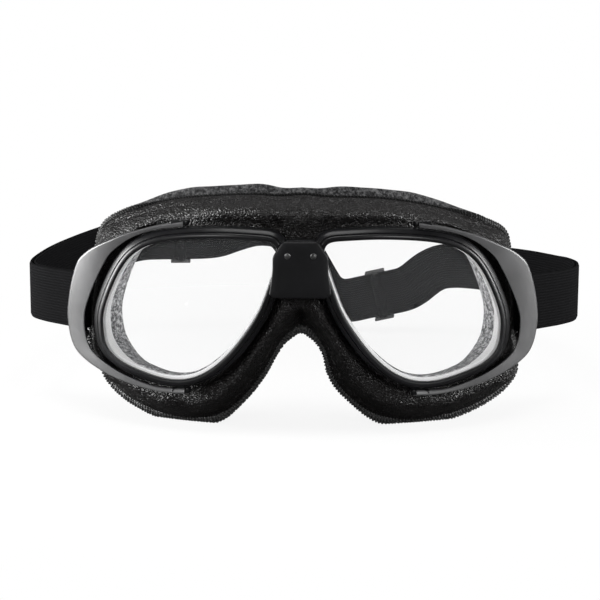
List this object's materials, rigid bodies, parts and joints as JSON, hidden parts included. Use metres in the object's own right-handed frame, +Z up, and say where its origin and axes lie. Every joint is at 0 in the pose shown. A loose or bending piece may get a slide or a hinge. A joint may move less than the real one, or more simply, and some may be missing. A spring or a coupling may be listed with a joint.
{
  "type": "riding goggles",
  "caption": "Padded riding goggles: curved lenses in a wrapped frame, fleece-lined leather cushion, hinged strap outriggers and an elastic strap with sliding adjusters.",
  "frame": {"origin": "centre of the bounding box's base, on the surface the goggles lie on", "axes": "+X towards the picture's right, -Y out through the lenses towards the viewer, +Z up"},
  "size_m": [0.2592, 0.2478, 0.1035],
  "materials": {
    "frame_plastic": "satin black moulded plastic",
    "rim_plastic": "satin dark grey moulded plastic",
    "lens": "clear polished lens plate",
    "gasket": "pale translucent gasket",
    "screw_steel": "plain small fixings",
    "leather": "black grained leather, semi-gloss",
    "foam": "open-cell foam",
    "fleece": "grey brushed fleece",
    "thread": "black overlock thread",
    "outrigger_plastic": "matte grey-black moulded plastic",
    "webbing": "black woven elastic",
    "slider_plastic": "satin black plastic"
  },
  "bodies": {
    "goggles": {"frame": "frame_plastic", "pad_carrier": "frame_plastic", "bezel_left": "rim_plastic", "bezel_right": "rim_plastic", "bridge_cover": "rim_plastic", "lens_left": "lens", "lens_right": "lens", "lens_gasket_left": "gasket", "lens_gasket_right": "gasket", "bridge_screws": "screw_steel", "carrier_screws": "screw_steel", "hinge_pins_left": "screw_steel", "hinge_pins_right": "screw_steel", "leather_cover": "leather", "foam_pad": "foam", "fleece_lining": "fleece", "overlock_seam": "thread", "strap_back": "webbing", "strap_side_left": "webbing", "strap_side_right": "webbing", "strap_tail_left": "webbing", "strap_tail_right": "webbing"},
    "left_outrigger": {"outrigger_left": "outrigger_plastic", "strap_loop_left": "webbing"},
    "right_outrigger": {"outrigger_right": "outrigger_plastic", "strap_loop_right": "webbing"},
    "left_slider": {"slider_left": "slider_plastic"},
    "right_slider": {"slider_right": "slider_plastic"}
  },
  "joints": [
    {"name": "left_outrigger_hinge", "type": "hinge", "parent": "goggles", "child": "left_outrigger", "pos_m": [-0.0495, -0.10654, 0.052], "axis": [0, 0, 1], "range_deg": [0, 25], "deforming": ["strap_side_left"]},
    {"name": "right_outrigger_hinge", "type": "hinge", "parent": "goggles", "child": "right_outrigger", "pos_m": [0.0495, -0.10654, 0.052], "axis": [0, 0, -1], "range_deg": [0, 25], "deforming": ["strap_side_right"]},
    {"name": "left_slider_slide", "type": "slide", "parent": "goggles", "child": "left_slider", "axis": [0.9967, 0.0806, 0], "range_m": [-0.006, 0.01], "deforming": ["strap_tail_left"]},
    {"name": "right_slider_slide", "type": "slide", "parent": "goggles", "child": "right_slider", "axis": [0.9718, -0.0648, 0.2268], "range_m": [-0.007, 0.007], "deforming": ["strap_tail_right"]}
  ]
}
